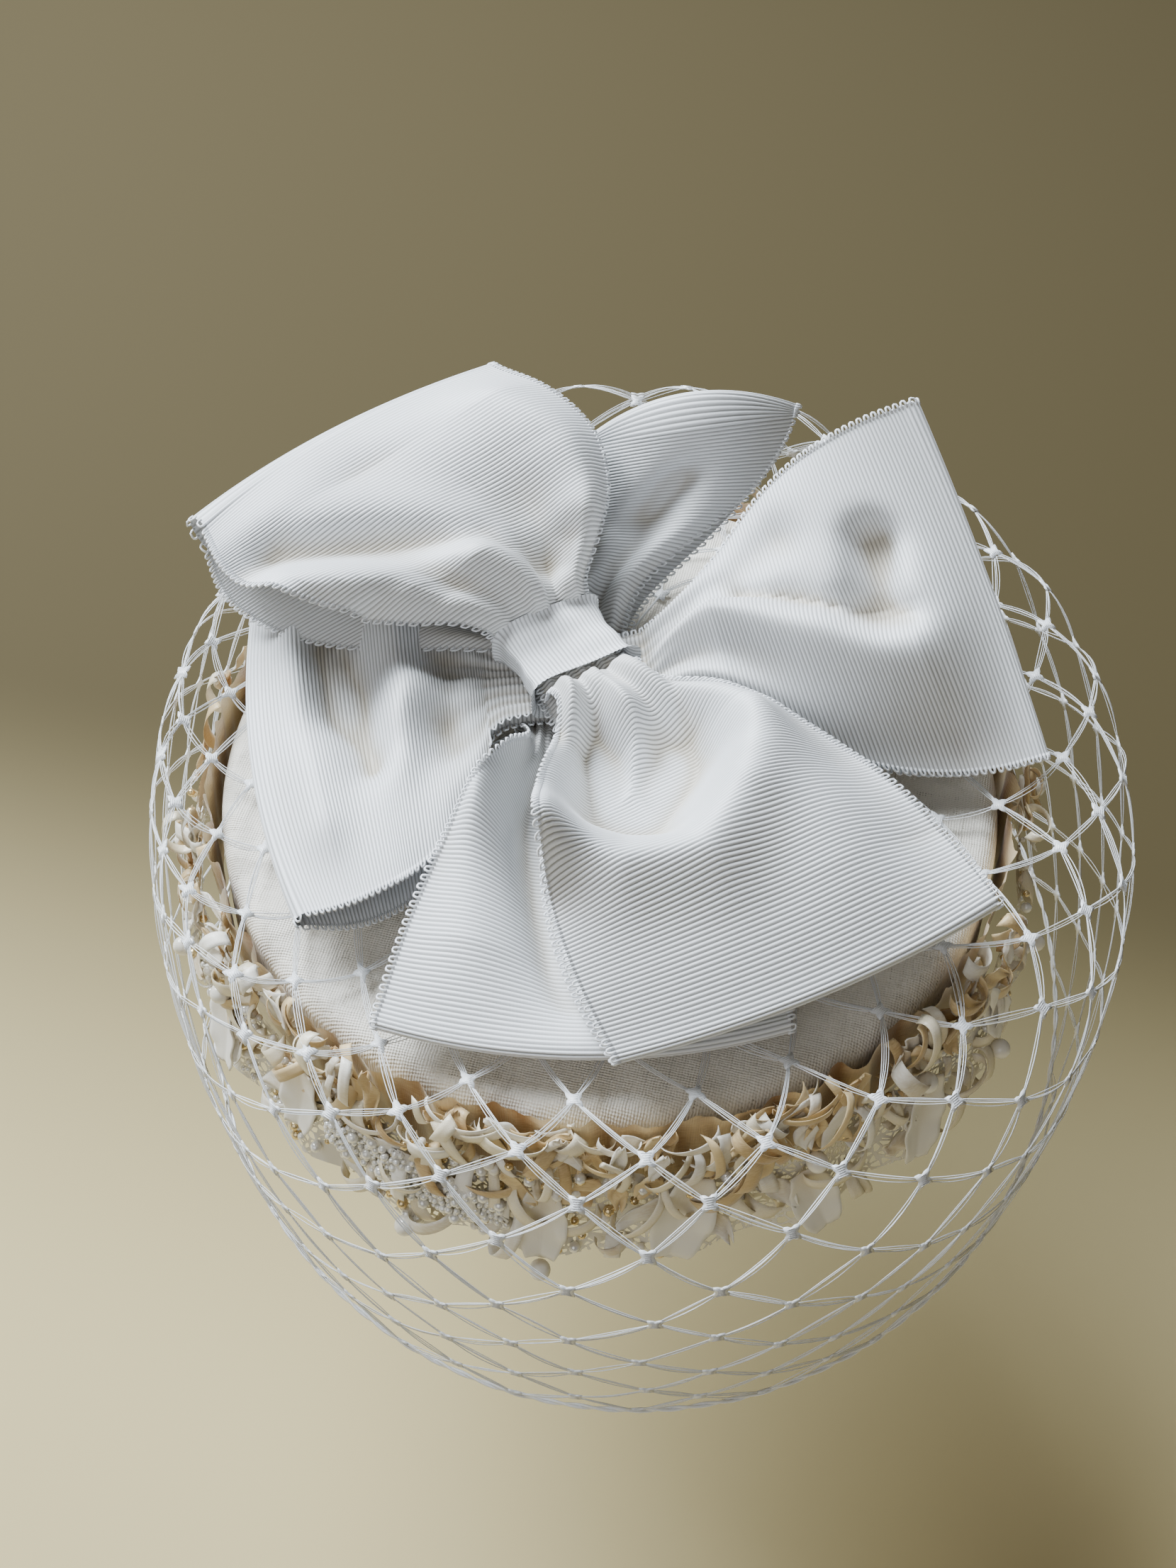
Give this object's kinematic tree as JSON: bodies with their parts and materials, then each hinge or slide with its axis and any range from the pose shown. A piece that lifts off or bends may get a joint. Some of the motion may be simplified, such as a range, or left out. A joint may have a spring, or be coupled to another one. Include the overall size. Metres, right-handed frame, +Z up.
{
  "type": "bridal pillbox hat with bow and birdcage veil",
  "caption": "Round pillbox hat with a beaded lace garland, a large layered ribbon bow and a puffed net veil that hangs below its rim.",
  "frame": {"origin": "middle of the hat's rim, where it sits on the head", "axes": "+Z up out of the crown, -Y the hat's front, +X to the right in the front view"},
  "size_m": [0.2074, 0.2178, 0.1399],
  "materials": {
    "crown_cloth": "plain woven natural linen, matt",
    "ribbon": "white grosgrain with fine cross ribs and looped selvedges",
    "organza": "thin amber organza, slightly glossy",
    "lace": "off-white lace, matt",
    "petal_cloth": "cream organza petals with a soft sheen",
    "bead_trim": "silver and crystal beads on lace",
    "pearl": "cream pearl lustre",
    "straw": "pale straw strip, slightly glossy",
    "net": "stiff white diamond veiling, translucent"
  },
  "bodies": {
    "root": {"crown": "crown_cloth", "amber_ruffle": "organza", "lace_frill": "lace", "beaded_applique": "bead_trim", "petal_1": "petal_cloth", "petal_2": "petal_cloth", "petal_3": "petal_cloth", "petal_4": "petal_cloth", "petal_5": "petal_cloth", "petal_6": "petal_cloth", "petal_7": "petal_cloth", "petal_8": "petal_cloth", "petal_9": "petal_cloth", "petal_10": "petal_cloth", "petal_11": "petal_cloth", "petal_12": "petal_cloth", "pearl_1": "pearl", "pearl_2": "pearl", "pearl_3": "pearl", "pearl_4": "pearl", "pearl_5": "pearl", "pearl_6": "pearl", "pearl_7": "pearl", "pearl_8": "pearl", "pearl_9": "pearl", "pearl_10": "pearl", "straw_curl_1": "straw", "straw_curl_2": "straw", "straw_curl_3": "straw", "loop_front": "ribbon", "loop_back_left": "ribbon", "loop_right": "ribbon", "loop_left": "ribbon", "loop_front_left": "ribbon", "loop_back": "ribbon", "knot_band": "ribbon", "veil_net": "net"}
  },
  "joints": []
}
